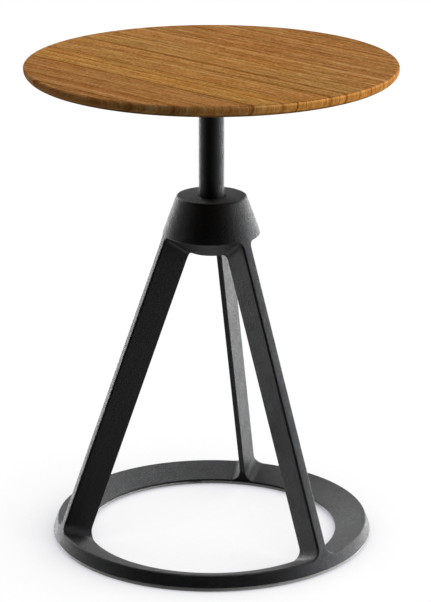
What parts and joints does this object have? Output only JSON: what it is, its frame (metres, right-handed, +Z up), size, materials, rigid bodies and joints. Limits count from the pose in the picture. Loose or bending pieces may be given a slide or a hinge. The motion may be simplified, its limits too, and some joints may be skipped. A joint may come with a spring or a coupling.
{
  "type": "telescoping pedestal table",
  "caption": "Small round wooden table on a sliding column held by a cast hub with splayed legs on a floor ring; height adjusts and the top turns.",
  "frame": {"origin": "on the floor, on the axis of the column and the round top", "axes": "+Z up along the column; one leg points halfway between +X and -Y, and the legs are 120 degrees apart"},
  "size_m": [0.436, 0.436, 0.582],
  "materials": {
    "black_coat": "satin black powder coat",
    "natural_plastic": "natural nylon, matt",
    "bush_plastic": "white bearing plastic, matt",
    "black_plastic": "black moulded plastic, matt",
    "sleeve_aluminium": "turned aluminium",
    "steel": "zinc plated steel",
    "teak": "teak, oiled, fine straight grain"
  },
  "bodies": {
    "base": {"base_casting": "black_coat", "glide_ring": "natural_plastic", "glide_screws": "steel", "upper_bush": "bush_plastic", "spacer_sleeve": "sleeve_aluminium", "lower_bush": "bush_plastic", "hub_circlip": "steel", "brake_screw": "steel", "brake_springs": "steel", "brake_shoe": "bush_plastic"},
    "stop": {"stop_washer": "steel"},
    "column": {"column_tube": "black_coat", "tube_plug": "black_plastic", "tube_circlip": "steel", "tube_insert": "steel", "flange_bolt": "steel", "mounting_flange": "black_coat", "wood_screws": "steel", "stave_1": "teak", "stave_2": "teak", "stave_3": "teak", "stave_4": "teak", "stave_5": "teak", "stave_6": "teak", "stave_7": "teak", "stave_8": "teak", "stave_9": "teak"}
  },
  "joints": [
    {"name": "column_slide", "type": "slide", "parent": "base", "child": "stop", "axis": [0, 0, 1], "range_m": [-0.138, 0]},
    {"name": "column_turn", "type": "hinge", "parent": "stop", "child": "column", "pos_m": [0, 0, 0.3639], "axis": [0, 0, 1], "continuous": true}
  ]
}
